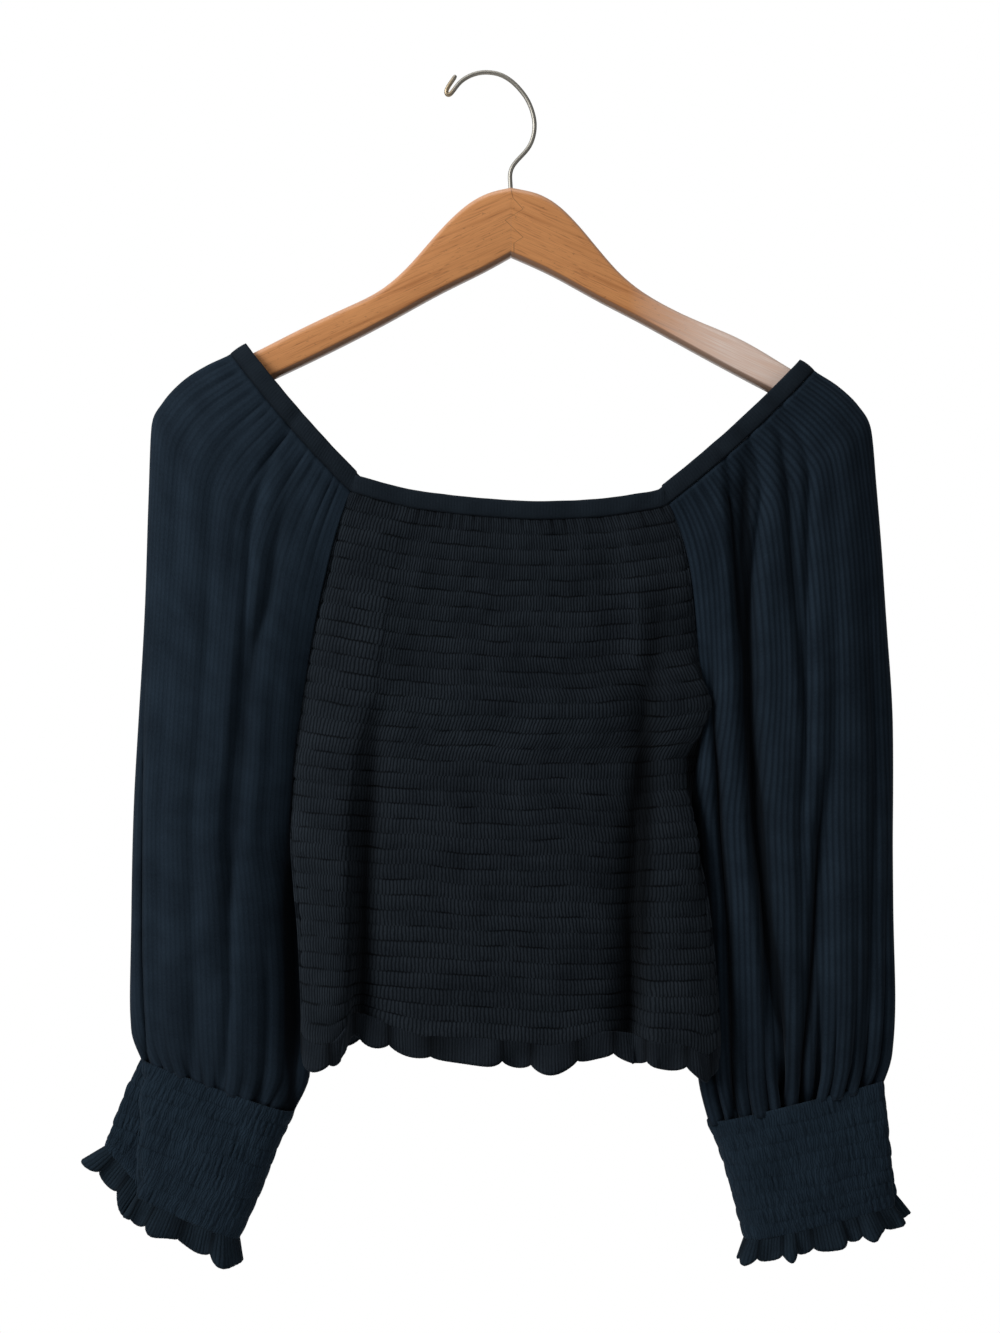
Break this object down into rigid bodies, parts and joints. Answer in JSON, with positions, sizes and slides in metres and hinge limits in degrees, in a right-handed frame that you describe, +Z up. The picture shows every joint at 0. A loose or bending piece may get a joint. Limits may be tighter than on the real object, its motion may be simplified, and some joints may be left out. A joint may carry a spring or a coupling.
{
  "type": "puff sleeve blouse on a wooden hanger",
  "caption": "Black ribbed blouse with smocked body and cuffs, square neck, full raglan sleeves and rolled ruffles, hanging on a wooden hanger.",
  "frame": {"origin": "inner top of the hanger's hook, where it rests on a rail", "axes": "+Z up; the front of the blouse faces -Y; +X is to the right of someone who faces it"},
  "size_m": [0.524, 0.0609, 0.7613],
  "materials": {
    "smocked_knit": "soft matte smocked knit, near black",
    "rib_knit": "soft matte rib knit, black with a blue cast",
    "binding": "flat matte knit band",
    "smocked_cuff": "soft crinkled smocked knit",
    "rolled_edge": "rolled overlocked edge",
    "beech": "satin lacquered light beech",
    "steel": "bright drawn wire"
  },
  "bodies": {
    "root": {"front": "smocked_knit", "back": "smocked_knit", "sleeve_left": "rib_knit", "sleeve_right": "rib_knit", "neck_binding": "binding", "cuff_left": "smocked_cuff", "cuff_right": "smocked_cuff", "cuff_ruffle_left": "rolled_edge", "cuff_ruffle_right": "rolled_edge", "hem_ruffle": "rolled_edge", "hanger_arm_left": "beech", "hanger_arm_right": "beech", "hook": "steel"}
  },
  "joints": []
}
